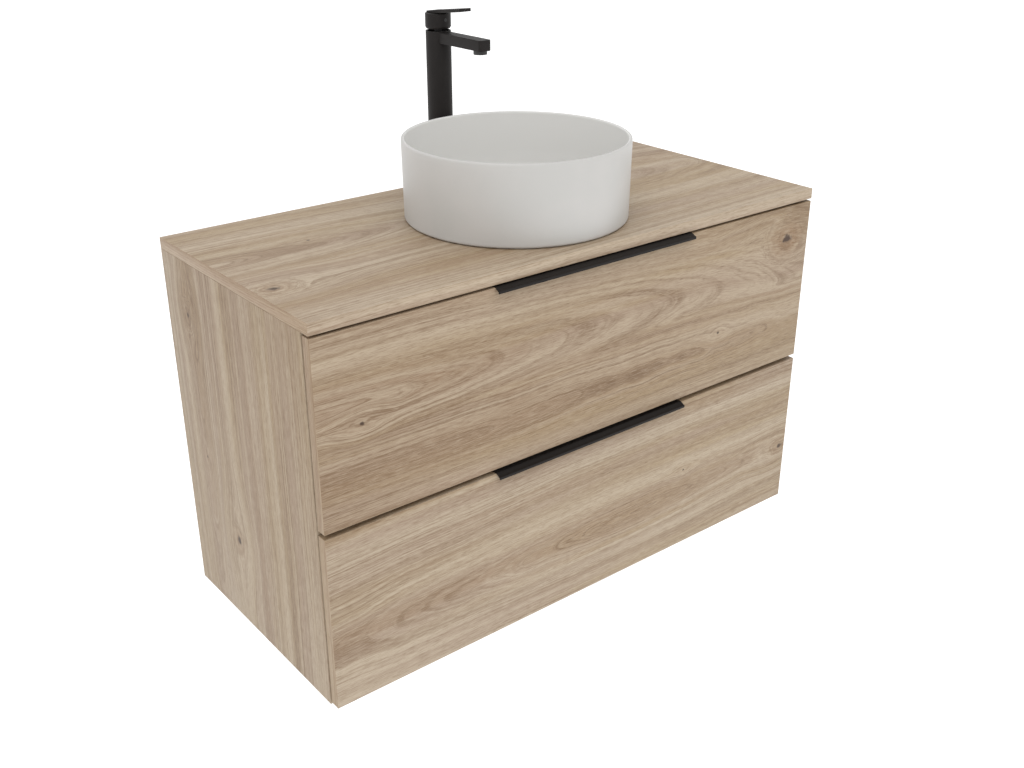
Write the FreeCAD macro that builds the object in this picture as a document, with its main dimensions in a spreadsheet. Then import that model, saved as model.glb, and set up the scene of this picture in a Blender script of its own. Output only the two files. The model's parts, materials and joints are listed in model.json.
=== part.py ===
"""Wall-hung vanity unit with a round vessel basin, a tall single-lever tap and two drawers.

Frame: X to the right, Y towards the wall (the wall is the plane Y = 0, the drawer fronts face -Y),
Z up.  The origin is the middle of the upper rear rail's back face, where the unit bears on the wall.
"""
import FreeCAD, Part
import os
import re
import Sketcher

doc = FreeCAD.newDocument("Vanity")

# Driving dimensions, in millimetres and degrees.
DIMENSIONS = {
    # cabinet
    "cabinet_width": 1000,
    "cabinet_depth": 450,
    "carcass_height": 600,
    "board": 18,
    "rail_height": 100,
    "stretcher_depth": 80,
    "front_gap": 4,
    "between_fronts": 8,
    "side_reveal": 1,
    "front_standoff": 2,
    "waste_hole": 25,
    "tap_hole": 17.5,
    "front_screw_spacing": 220,
    # dowels and wood screws
    "dowel_radius": 4,
    "dowel_length": 28,
    "dowel_in_side": 10,
    "dowel_hole_end": 0.5,
    "dowel_fit": 0.05,
    "dowel_inset": 15,
    "dowel_pitch": 50,
    "rail_dowel_inset": 22,
    "rail_dowel_pitch": 55,
    "rail_dowel_bottom": 10,
    "rail_dowel_short_pitch": 18,
    "screw_radius": 2,
    "screw_head_radius": 4,
    "screw_head_height": 2.4,
    "countertop_screw_length": 30,
    "handle_screw_length": 12,
    "handle_screw_spacing": 100,
    # wall hanging
    "hanger_thickness": 14,
    "hanger_depth": 52,
    "hanger_height": 46,
    "hook_thickness": 9,
    "plate_width": 60,
    "plate_thickness": 2.5,
    "plate_bottom": 14,
    "plate_shelf": 22,
    "plate_lip": 34,
    "plate_reach": 9,
    "plate_hole": 3.25,
    "plate_hole_spacing": 32,
    "plate_hole_level": 5,
    "plate_play": 2,
    "plate_to_side": 4,
    "notch_margin": 10,
    "hook_play": 0.5,
    "hook_setback": 3.2,
    "hook_tooth": 2.9,
    # runners and drawers
    "runner_length": 400,
    "runner_setback": 28,
    "runner_sheet": 1.2,
    "runner_half_height": 20,
    "runner_depth": 11,
    "runner_play": 2.2,
    "middle_recess": 0.2,
    "middle_setback": 10,
    "middle_shorter": 12,
    "drawer_rear": 46,
    "drawer_board": 16,
    "drawer_side_height": 172,
    "drawer_side_thickness": 12,
    "drawer_side_below_runner": 22,
    "runner_above_front_bottom": 50,
    "tongue_half_height": 15.6,
    "tongue_reach": 7.2,
    "drawer_play": 0.6,
    "recess_half_width": 60,
    "recess_front": 300,
    # edge-pull handle
    "handle_length": 400,
    "handle_sheet": 1.5,
    "handle_reach": 9,
    "handle_drop": 7,
    "handle_leg": 25,
    "handle_nose_level": 3,
    "handle_hollow": 3,
    "handle_hollow_level": 2.1,
    "handle_hollow_below": 3.8,
    "handle_lip_inside": 4.4,
    "handle_brow": 1,
    "handle_nose_radius": 1.4,
    "handle_hollow_radius": 6,
    "handle_brow_radius": 3,
    # basin
    "basin_front_to_axis": 201,
    "basin_rim_radius": 182,
    "basin_base_radius": 180.5,
    "basin_height": 128,
    "basin_rim": 6,
    "basin_wall": 9,
    "basin_foot": 28,
    "basin_foot_height": 5,
    "basin_base_edge": 4,
    "basin_floor": 15,
    "basin_floor_rise": 8,
    "basin_hole": 22.5,
    "basin_seat_radius": 32.5,
    "basin_seat_height": 11,
    "basin_corner": 30,
    "seal_thickness": 1,
    "seal_inset": 6,
    # waste and trap
    "waste_flange_radius": 31.5,
    "waste_flange_edge": 2.5,
    "waste_flange_height": 4,
    "waste_flange_bevel": 1.5,
    "waste_mouth_radius": 21,
    "waste_funnel_depth": 12,
    "waste_thread_radius": 20.5,
    "waste_thread_length": 58,
    "waste_tail_radius": 16,
    "waste_bore": 14,
    "waste_length": 96,
    "guide_radius": 6,
    "guide_depth": 40,
    "guide_height": 15,
    "guide_rib": 2,
    "guide_rib_height": 10,
    "plug_radius": 30,
    "plug_bottom": 4.3,
    "plug_edge": 6.3,
    "plug_shoulder": 7.8,
    "plug_top": 9,
    "plug_stem_length": 52,
    "plug_seal_radius": 18.2,
    "plug_stem_radius": 3,
    "waste_nut_radius": 30,
    "waste_nut_height": 10,
    "gasket_thickness": 3,
    "trap_radius": 30,
    "trap_wall": 3,
    "trap_cup_radius": 33.4,
    "trap_nut_radius": 24,
    "trap_nut_height": 20,
    "trap_nut_bevel": 2,
    "trap_nut_lap": 8,
    "dip_tube_depth": 50,
    "trap_skirt_depth": 34,
    "trap_ceiling": 24,
    "trap_shoulder": 27,
    "cup_top_depth": 20,
    "cup_bottom_depth": 82,
    "cup_bottom_edge": 5,
    "spigot_radius": 19,
    "spigot_length": 14,
    "outlet_nut_length": 18,
    "trap_outlet_level": 75,
    "outlet_spigot": 40,
    "outlet_stop": 3,
    "outlet_stop_height": 2,
    # tap
    "tap_setback": 43,
    "tap_radius": 21,
    "tap_height": 265.5,
    "tap_shank_radius": 15,
    "tap_shank_length": 12,
    "inlet_radius": 4.6,
    "inlet_offset": 7.2,
    "inlet_depth": 14,
    "inlet_setback": 3,
    "supply_radius": 3,
    "mixed_radius": 2.4,
    "spout_bore_radius": 3.8,
    "spout_bore_level": 13,
    "stud_radius": 4,
    "stud_offset": 8.5,
    "stud_length": 50.5,
    "stud_below_top": 52,
    "stud_nut_size": 13,
    "stud_nut_height": 6.5,
    "clamp_radius": 22,
    "clamp_thickness": 3,
    "clamp_slot": 25,
    "spout_width": 23.5,
    "spout_height": 17,
    "spout_below_top": 1.5,
    "spout_reach": 128.5,
    "spout_corner": 5,
    "aerator_reach": 114,
    "aerator_radius": 11,
    "aerator_drop": 6,
    "aerator_neck": 9.5,
    "aerator_height": 6.5,
    "aerator_mouth": 7.5,
    "aerator_screen": 2,
    "cartridge_radius": 12.6,
    "cartridge_bore": 13,
    "cartridge_depth": 58,
    "cartridge_neck": 10.6,
    "nut_bore": 17,
    "nut_depth": 8.5,
    "nut_height": 3.9,
    "mouth_depth": 4.5,
    "spindle_radius": 8.2,
    "spindle_depth": 22,
    "lever_pivot": 285,
    "cap_radius": 21.3,
    "cap_bottom": 269,
    "cap_top": 293,
    "cap_wall": 2.6,
    "cap_chamfer_height": 3,
    "cap_chamfer": 1.7,
    "cap_edge": 0.8,
    "lever_reach": 76,
    "lever_width": 23,
    "lever_plate": 5,
    "lever_rise": 7,
    "lever_tip": 307,
    "lever_pin_radius": 2.5,
    "lever_corner": 2,
    "lever_pin_length": 19,
    "neck_width": 9,
    "cheek_thickness": 5,
    "cheek_start": 5.2,
    "cheek_depth": 10,
    "set_screw_radius": 2.5,
    "set_screw_below_pin": 1.5,
    "boss_radius": 5,
    "plug_bore": 2.8,
    "fit": 0.05,
}

sheet = doc.addObject("Spreadsheet::Sheet", "Sizes")
for row, (alias, size) in enumerate(DIMENSIONS.items(), start=1):
    sheet.set(f"A{row}", alias)
    sheet.set(f"B{row}", str(size))
    sheet.setAlias(f"B{row}", alias)
doc.recompute()

# Derived levels and places, as expressions in the sheet's aliases.
UNDERSIDE = "(rail_height / 2)"
COUNTER = f"({UNDERSIDE} + board)"
CARCASS_BOTTOM = f"({UNDERSIDE} - carcass_height)"
INNER_HALF = "(cabinet_width / 2 - board)"
CARCASS_FRONT = "(board + front_standoff - cabinet_depth)"
FRONT_HEIGHT = "((carcass_height - 2 * front_gap - between_fronts) / 2)"
FRONT_BOTTOM = {
    "upper": f"({UNDERSIDE} - front_gap - {FRONT_HEIGHT})",
    "lower": f"({CARCASS_BOTTOM} + front_gap)",
}
BASIN_Y = "(basin_front_to_axis - cabinet_depth)"
BASIN_Z = f"({COUNTER} + seal_thickness)"
SEAT_Z = f"({BASIN_Z} + basin_seat_height)"
TAP_Y = "(0 - tap_setback)"

nodes = []


def formula(text):
    """Put the sheet's name before each of its aliases in an expression."""
    def qualify(word):
        return "Sizes." + word.group() if word.group() in DIMENSIONS else word.group()
    return re.sub(r"[a-z]\w*", qualify, str(text))


def value(text):
    """The number that an expression in the sheet's aliases comes to."""
    number = sheet.evalExpression(formula(text))
    return float(getattr(number, "Value", number))


def bind(thing, **sizes):
    """Bind properties of an object to expressions in the sheet's aliases."""
    for name, text in sizes.items():
        thing.setExpression(name, formula(text))


def place(thing, x, y, z, rotation=None):
    """Turn an object, then bind its position to three expressions."""
    thing.Placement = FreeCAD.Placement(FreeCAD.Vector(), rotation or FreeCAD.Rotation())
    for axis, text in zip("xyz", (x, y, z)):
        thing.setExpression(f".Placement.Base.{axis}", formula(text))
    return thing


def node(thing, label):
    """Name a finished sub-part and keep it for export."""
    thing.Label = label
    nodes.append(thing)
    return thing


def box(name, x, y, z, length, width, height, rotation=None):
    """A block from one corner, with its sizes along X, Y and Z."""
    block = doc.addObject("Part::Box", name)
    bind(block, Length=length, Width=width, Height=height)
    return place(block, x, y, z, rotation)


ALONG = {
    "x": FreeCAD.Rotation(FreeCAD.Vector(0, 0, 1), FreeCAD.Vector(1, 0, 0)),
    "-x": FreeCAD.Rotation(FreeCAD.Vector(0, 0, 1), FreeCAD.Vector(-1, 0, 0)),
    "y": FreeCAD.Rotation(FreeCAD.Vector(0, 0, 1), FreeCAD.Vector(0, 1, 0)),
    "-y": FreeCAD.Rotation(FreeCAD.Vector(0, 0, 1), FreeCAD.Vector(0, -1, 0)),
    "z": FreeCAD.Rotation(),
}


def rod(name, x, y, z, radius, length, along="z"):
    """A cylinder from the middle of its first end, along a named direction."""
    cylinder = doc.addObject("Part::Cylinder", name)
    bind(cylinder, Radius=radius, Height=length)
    return place(cylinder, x, y, z, ALONG[along])


def fuse(name, *shapes):
    """One solid from shapes that overlap or touch."""
    union = doc.addObject("Part::MultiFuse", name)
    union.Shapes = list(shapes)
    return union


def group(name, shapes):
    """Separate solids kept together as one object."""
    compound = doc.addObject("Part::Compound", name)
    compound.Links = list(shapes)
    return compound


def cut(name, base, *tools):
    """A shape less one or more others."""
    rest = doc.addObject("Part::Cut", name)
    rest.Base = base
    rest.Tool = tools[0] if len(tools) == 1 else group(name + "Tools", tools)
    return rest


def outline(body, plane, name, loops):
    """A sketch of closed straight-sided loops whose corners are bound to expressions."""
    sketch = body.newObject("Sketcher::SketchObject", name)
    support = [face for face in body.Origin.OriginFeatures if face.Role == plane][0]
    sketch.AttachmentSupport = (support, "")
    sketch.MapMode = "FlatFace"
    first = 0
    for corners in loops:
        points = [FreeCAD.Vector(value(u), value(v), 0) for u, v in corners]
        count = len(points)
        for index in range(count):
            sketch.addGeometry(Part.LineSegment(points[index], points[(index + 1) % count]))
        for index in range(count):
            following = first + (index + 1) % count
            sketch.addConstraint(Sketcher.Constraint("Coincident", first + index, 2, following, 1))
        for index, corner in enumerate(corners):
            for kind, text, axis in (("DistanceX", corner[0], -2), ("DistanceY", corner[1], -1)):
                if text == "0":
                    sketch.addConstraint(Sketcher.Constraint("PointOnObject", first + index, 1, axis))
                    continue
                number = sketch.addConstraint(
                    Sketcher.Constraint(kind, -1, 1, first + index, 1, value(text)))
                sketch.setExpression(f"Constraints[{number}]", formula(text))
        first += count
    return sketch


def extrusion(name, plane, length, *loops):
    """A body padded from an outline along its plane's normal: XY to +Z, YZ to +X, XZ to -Y."""
    body = doc.addObject("PartDesign::Body", name)
    sketch = outline(body, plane, name + "Outline", loops)
    pad = body.newObject("PartDesign::Pad", name + "Pad")
    pad.Profile = sketch
    bind(pad, Length=length)
    sketch.Visibility = False
    return body


def turning(name, *loops):
    """A body turned about its own Z axis from an outline in radius and height."""
    body = doc.addObject("PartDesign::Body", name)
    sketch = outline(body, "XZ_Plane", name + "Outline", loops)
    turn = body.newObject("PartDesign::Revolution", name + "Turn")
    turn.Profile = sketch
    turn.ReferenceAxis = (sketch, ["V_Axis"])
    turn.Angle = 360
    return body


def edges_where(shape, wanted):
    """Names of a shape's edges that pass a test."""
    return [f"Edge{index}" for index, edge in enumerate(shape.Edges, start=1) if wanted(edge)]


def round_off(body, radius, wanted, name):
    """Fillet the chosen edges of a body's last feature."""
    doc.recompute()
    base = body.Tip
    chosen = edges_where(base.Shape, wanted)
    if not chosen:
        raise RuntimeError(f"no edges to round for {name}")
    fillet = body.newObject("PartDesign::Fillet", name)
    fillet.Base = (base, chosen)
    bind(fillet, Radius=radius)
    return fillet


def circle_at(radius, height):
    """Test for a full circle about Z of this radius at this height in a body's own frame."""
    def wanted(edge):
        curve = edge.Curve
        round_edge = isinstance(curve, Part.Circle)
        return (round_edge and abs(curve.Radius - value(radius)) < 0.01
                and abs(curve.Center.z - value(height)) < 0.01)
    return wanted


def line_at(u, v):
    """Test for a straight edge along X at this Y and Z in a body's own frame."""
    def wanted(edge):
        ends = [vertex.Point for vertex in edge.Vertexes]
        return len(ends) == 2 and all(
            abs(end.y - value(u)) < 0.01 and abs(end.z - value(v)) < 0.01 for end in ends)
    return wanted


def ring(name, inner, outer, height):
    """A flat ring about Z that stands on its own XY plane."""
    return turning(name, [(inner, "0"), (outer, "0"), (outer, height), (inner, height)])


def screw(name, x, y, z, length, along):
    """A countersunk screw; its head's flat face is at the given point and its shank runs on."""
    shank = rod(name + "Shank", x, y, z, "screw_radius", length, along)
    head = doc.addObject("Part::Cone", name + "Head")
    bind(head, Radius1="screw_head_radius", Radius2="screw_radius", Height="screw_head_height")
    place(head, x, y, z, ALONG[along])
    return fuse(name, shank, head)


# ---------------------------------------------------------------- carcass

DOWEL_PLACES = {
    "bottom": [(f"{CARCASS_FRONT} + dowel_pitch", f"{CARCASS_BOTTOM} + board / 2"),
               ("0 - dowel_pitch - rail_dowel_bottom", f"{CARCASS_BOTTOM} + board / 2")],
    "rail_lower": [("0 - board / 2", f"{CARCASS_BOTTOM} + board + rail_dowel_inset"),
                   ("0 - board / 2", f"{CARCASS_BOTTOM} + board + rail_dowel_inset + rail_dowel_pitch")],
    "rail_upper": [("0 - board / 2", "rail_dowel_bottom - rail_height / 2"),
                   ("0 - board / 2", "rail_dowel_bottom + rail_dowel_short_pitch - rail_height / 2")],
    "stretcher": [(f"{CARCASS_FRONT} + dowel_inset", f"{UNDERSIDE} - board / 2"),
                  (f"{CARCASS_FRONT} + dowel_inset + dowel_pitch", f"{UNDERSIDE} - board / 2")],
}


def dowels():
    """The dowels at both ends of the cross panels, and the slightly larger holes they sit in."""
    pegs = []
    holes = []
    for panel, places in DOWEL_PLACES.items():
        for number, (y, z) in enumerate(places):
            for along, sign in (("x", "-1"), ("-x", "1")):
                tag = f"{panel}{number}{'L' if sign == '-1' else 'R'}"
                start = f"{sign} * ({INNER_HALF} + dowel_in_side)"
                pegs.append(rod("Dowel" + tag, start, y, z, "dowel_radius", "dowel_length", along))
                start = f"{sign} * ({INNER_HALF} + dowel_in_side + dowel_hole_end)"
                holes.append(rod("DowelHole" + tag, start, y, z,
                                 "dowel_radius + dowel_fit", "dowel_length + 2 * dowel_hole_end", along))
    node(group("Dowels", pegs), "carcass_dowels")
    return group("DowelHoles", holes)


def carcass():
    """Two sides, bottom, rear rails, front stretcher and countertop, drilled for their fixings."""
    holes = dowels()
    for label, x in (("side_left", "0 - cabinet_width / 2"), ("side_right", INNER_HALF)):
        panel = box(label + "_board", x, CARCASS_FRONT, CARCASS_BOTTOM,
                    "board", f"0 - {CARCASS_FRONT}", "carcass_height")
        node(cut(label + "_drilled", panel, holes), label)
    across = f"2 * {INNER_HALF}"
    left = f"0 - {INNER_HALF}"
    bottom = box("BottomBoard", left, CARCASS_FRONT, CARCASS_BOTTOM, across, f"0 - {CARCASS_FRONT}", "board")
    node(cut("BottomDrilled", bottom, holes), "bottom_panel")
    rail = box("LowerRailBoard", left, "0 - board", f"{CARCASS_BOTTOM} + board",
               across, "board", "rail_height")
    node(cut("LowerRailDrilled", rail, holes), "rear_rail_lower")
    rail = box("UpperRailBoard", left, "0 - board", "0 - rail_height / 2", across, "board", "rail_height")
    notches = [
        box("NotchLeft", left, "0 - board", "0 - plate_bottom", "plate_width + notch_margin", "board",
            "rail_height / 2 + plate_bottom"),
        box("NotchRight", f"{INNER_HALF} - plate_width - notch_margin", "0 - board", "0 - plate_bottom",
            "plate_width + notch_margin", "board", "rail_height / 2 + plate_bottom"),
    ]
    node(cut("UpperRailDrilled", rail, holes, *notches), "rear_rail_upper")
    screws = group("CountertopScrews", [
        screw(f"CountertopScrew{number}", f"{number - 1.5} * front_screw_spacing",
              f"{CARCASS_FRONT} + stretcher_depth / 2", f"{UNDERSIDE} - board",
              "countertop_screw_length", "z")
        for number in range(4)])
    node(screws, "countertop_screws")
    stretcher = box("StretcherBoard", left, CARCASS_FRONT, f"{UNDERSIDE} - board",
                    across, "stretcher_depth", "board")
    node(cut("StretcherDrilled", stretcher, holes, screws), "front_stretcher")
    top = box("CountertopBoard", "0 - cabinet_width / 2", "0 - cabinet_depth", UNDERSIDE,
              "cabinet_width", "cabinet_depth", "board")
    waste = rod("WasteHole", "0", BASIN_Y, UNDERSIDE, "waste_hole", "board")
    tap = rod("TapHole", "0", TAP_Y, UNDERSIDE, "tap_hole", "board")
    node(cut("CountertopDrilled", top, waste, tap, screws), "countertop")


def hanging():
    """On each side a wall plate with an upturned lip, and a bracket whose tooth drops behind it."""
    for side, sign in (("left", "-1"), ("right", "1")):
        edge = {"left": f"plate_to_side - {INNER_HALF}",
                "right": f"{INNER_HALF} - plate_to_side - plate_width"}[side]
        plate = extrusion(f"WallPlate{side}", "YZ_Plane", "plate_width", [
            ("0", "plate_play - plate_bottom"), ("0", "plate_shelf + plate_thickness"),
            ("plate_thickness - plate_reach", "plate_shelf + plate_thickness"),
            ("plate_thickness - plate_reach", "plate_lip"), ("0 - plate_reach", "plate_lip"),
            ("0 - plate_reach", "plate_shelf"), ("0 - plate_thickness", "plate_shelf"),
            ("0 - plate_thickness", "plate_play - plate_bottom")])
        place(plate, edge, "0", "0")
        holes = [
            rod(f"PlateHole{side}{shift}", f"{edge} + plate_width / 2 + {shift} * plate_hole_spacing / 2",
                "0 - plate_thickness", "plate_hole_level", "plate_hole", "plate_thickness", "y")
            for shift in (-1, 1)]
        node(cut(f"WallPlate{side}Drilled", plate, *holes), f"wall_plate_{side}")
        case_x = f"{INNER_HALF} - hanger_thickness" if sign == "1" else f"0 - {INNER_HALF}"
        arm_x = f"{INNER_HALF} - plate_play - hook_thickness" if sign == "1" else f"plate_play - {INNER_HALF}"
        parts = [
            box(f"HangerCase{side}", case_x, "0 - board - plate_play - hanger_depth", "0",
                "hanger_thickness", "hanger_depth", "hanger_height"),
            box(f"HangerArm{side}", arm_x, "0 - board - 2 * plate_play", "plate_lip + hook_play",
                "hook_thickness", "board + 2 * plate_play - hook_setback",
                "hanger_height - plate_lip - hook_play"),
            box(f"HangerTooth{side}", arm_x, "0 - hook_setback - hook_tooth",
                "plate_shelf + plate_thickness + hook_play", "hook_thickness", "hook_tooth",
                "hanger_height - plate_shelf - plate_thickness - hook_play"),
        ]
        node(fuse(f"Hanger{side}", *parts), f"hanger_{side}")


# ---------------------------------------------------------------- drawers and runners

def channel(name, start, half_height, depth, length):
    """A sheet-metal channel that opens towards +X, run along -Y."""
    inner = f"{half_height} - runner_sheet"
    web = f"{start} + runner_sheet"
    return extrusion(name, "XZ_Plane", length, [
        (start, f"0 - ({half_height})"), (depth, f"0 - ({half_height})"), (depth, f"0 - ({inner})"),
        (web, f"0 - ({inner})"), (web, inner), (depth, inner), (depth, half_height),
        (start, half_height)])


def runners(level):
    """Cabinet channels on the side panels and, nested in them, the sliding middle channels."""
    height = f"{FRONT_BOTTOM[level]} + runner_above_front_bottom"
    middles = []
    for side, sign in (("left", "-1"), ("right", "1")):
        turn = FreeCAD.Rotation(FreeCAD.Vector(0, 1, 0), 180 if side == "right" else 0)
        fixed = channel(f"CabinetRunner{level}{side}", "0", "runner_half_height", "runner_depth",
                        "runner_length")
        place(fixed, f"{sign} * {INNER_HALF}", "0 - runner_setback", height, turn)
        node(fixed, f"{level}_cabinet_runner_{side}")
        middle = channel(f"MiddleRunner{level}{side}", "runner_play", "runner_half_height - runner_play",
                         "runner_depth - middle_recess", "runner_length - middle_shorter")
        middles.append(place(middle, f"{sign} * {INNER_HALF}", "0 - runner_setback - middle_setback",
                             height, turn))
    node(group(f"MiddleRunners{level}", middles), f"{level}_middle_runners")


def drawer_side(name, sign):
    """A hollow folded-steel drawer side with the runner's inner member along its outer face."""
    below = "drawer_side_below_runner"
    outer_face = f"(0 - {sign} * (drawer_play + runner_depth))"
    inner_face = f"({outer_face} - {sign} * drawer_side_thickness)"
    tongue = f"(0 - {sign} * (drawer_play + runner_depth - tongue_reach))"
    top = f"(drawer_side_height - {below})"
    skin = f"{sign} * runner_sheet"
    outer = [
        (outer_face, f"0 - {below}"), (inner_face, f"0 - {below}"), (inner_face, top),
        (outer_face, top), (outer_face, "tongue_half_height"), (tongue, "tongue_half_height"),
        (tongue, "0 - tongue_half_height"), (outer_face, "0 - tongue_half_height")]
    inside = "(tongue_half_height - runner_sheet)"
    hollow = [
        (f"{outer_face} - {skin}", f"runner_sheet - {below}"),
        (f"{inner_face} + {skin}", f"runner_sheet - {below}"),
        (f"{inner_face} + {skin}", f"{top} - runner_sheet"),
        (f"{outer_face} - {skin}", f"{top} - runner_sheet"),
        (f"{outer_face} - {skin}", inside), (f"{tongue} - {skin}", inside),
        (f"{tongue} - {skin}", f"0 - {inside}"), (f"{outer_face} - {skin}", f"0 - {inside}")]
    return extrusion(name, "XZ_Plane", "cabinet_depth - board - drawer_rear", outer, hollow)


def handle(level):
    """An extruded edge pull: leg behind the front, flange over its edge, sloping face and lip."""
    front_play = "0 - 0.4"
    hollow = ("handle_hollow - handle_reach", "0 - handle_hollow_level")
    nose = ("0 - handle_reach", "0 - handle_nose_level")
    brow = ("handle_brow", "handle_sheet")
    profile = [
        ("board + handle_sheet", "0 - handle_leg"), ("board + handle_sheet", "handle_sheet"),
        brow, hollow, nose, ("0 - handle_reach", "0 - handle_drop"),
        ("handle_sheet - handle_reach", "0 - handle_drop"),
        ("handle_sheet - handle_reach", "0 - handle_lip_inside"),
        ("handle_hollow - handle_reach", "0 - handle_hollow_below"), (front_play, "0"),
        ("board", "0"), ("board", "0 - handle_leg")]
    body = extrusion(f"Handle{level}", "YZ_Plane", "handle_length", profile)
    round_off(body, "handle_nose_radius", line_at(*nose), f"Handle{level}Nose")
    round_off(body, "handle_hollow_radius", line_at(*hollow), f"Handle{level}Hollow")
    round_off(body, "handle_brow_radius", line_at(*brow), f"Handle{level}Brow")
    top = f"{FRONT_BOTTOM[level]} + {FRONT_HEIGHT}"
    place(body, "0 - handle_length / 2", "0 - cabinet_depth", top)
    screws = group(f"HandleScrews{level}", [
        screw(f"HandleScrew{level}{number}", f"{number - 1.5} * handle_screw_spacing",
              "board + handle_sheet - cabinet_depth", f"{top} - 0.6 * handle_leg",
              "handle_screw_length", "-y")
        for number in range(4)])
    node(cut(f"Handle{level}Drilled", body, screws), f"{level}_handle")
    node(screws, f"{level}_handle_screws")
    return screws


def drawer(level):
    """One drawer: front, handle, steel sides, bottom and back boards."""
    runner = f"({FRONT_BOTTOM[level]} + runner_above_front_bottom)"
    floor = f"({runner} - drawer_side_below_runner)"
    wall_height = "drawer_side_height - drawer_board"
    screws = handle(level)
    front = box(f"Front{level}Board", "side_reveal - cabinet_width / 2", "0 - cabinet_depth",
                FRONT_BOTTOM[level], "cabinet_width - 2 * side_reveal", "board", FRONT_HEIGHT)
    node(cut(f"Front{level}Drilled", front, screws), f"{level}_drawer_front")
    for side, sign in (("left", "-1"), ("right", "1")):
        steel = drawer_side(f"DrawerSide{level}{side}", sign)
        place(steel, f"{sign} * {INNER_HALF}", "0 - drawer_rear", runner)
        node(steel, f"{level}_drawer_side_{side}")
    half = f"({INNER_HALF} - drawer_play - runner_depth - drawer_side_thickness)"
    bottom = box(f"Bottom{level}Board", f"0 - {half}", "board - cabinet_depth", floor,
                 f"2 * {half}", "cabinet_depth - board - drawer_rear", "drawer_board")
    back_y = "0 - drawer_rear - drawer_board"
    on_floor = f"{floor} + drawer_board"
    if level == "lower":
        node(bottom, "lower_drawer_bottom")
        node(box("BackLower", f"0 - {half}", back_y, on_floor, f"2 * {half}", "drawer_board", wall_height),
             "lower_drawer_back")
        return
    slot = box("TrapSlot", "0 - recess_half_width", "0 - recess_front", floor,
               "2 * recess_half_width", "recess_front - drawer_rear", "drawer_board")
    node(cut("BottomUpperSlotted", bottom, slot), "upper_drawer_bottom")
    width = f"{half} - recess_half_width - drawer_board"
    node(box("BackLeft", f"0 - {half}", back_y, on_floor, width, "drawer_board", wall_height),
         "upper_drawer_back_left")
    node(box("BackRight", "recess_half_width + drawer_board", back_y, on_floor, width, "drawer_board",
             wall_height), "upper_drawer_back_right")
    shell = box("RecessShell", "0 - recess_half_width - drawer_board", "0 - recess_front - drawer_board",
                on_floor, "2 * (recess_half_width + drawer_board)",
                "recess_front + drawer_board - drawer_rear", wall_height)
    space = box("RecessSpace", "0 - recess_half_width", "0 - recess_front", on_floor,
                "2 * recess_half_width", "recess_front - drawer_rear", wall_height)
    node(cut("Recess", shell, space), "upper_drawer_recess")


# ---------------------------------------------------------------- basin, waste and trap

def basin():
    """A thin-rimmed round bowl on a foot ring, with a stepped seat for the waste."""
    bowl = turning("Basin", [
        ("basin_hole", "basin_foot_height"), ("basin_base_radius - basin_foot", "basin_foot_height"),
        ("basin_base_radius - basin_foot", "0"), ("basin_base_radius", "0"),
        ("basin_rim_radius", "basin_height"), ("basin_rim_radius - basin_rim", "basin_height"),
        ("basin_base_radius - basin_wall", "basin_floor + basin_floor_rise"),
        ("basin_seat_radius", "basin_floor"), ("basin_seat_radius", "basin_seat_height"),
        ("basin_hole", "basin_seat_height")])
    round_off(bowl, "basin_corner",
              circle_at("basin_base_radius - basin_wall", "basin_floor + basin_floor_rise"), "BowlCorner")
    round_off(bowl, "basin_base_edge", circle_at("basin_base_radius", "0"), "BasinBaseEdge")
    for radius, name in (("basin_rim_radius", "RimOutside"), ("basin_rim_radius - basin_rim", "RimInside")):
        round_off(bowl, "0.45 * basin_rim", circle_at(radius, "basin_height"), name)
    node(place(bowl, "0", BASIN_Y, BASIN_Z), "basin")
    seal = ring("BasinSeal", "basin_base_radius - basin_foot + seal_inset", "basin_base_radius - seal_inset",
                "seal_thickness")
    node(place(seal, "0", BASIN_Y, COUNTER), "basin_seal")


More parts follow.
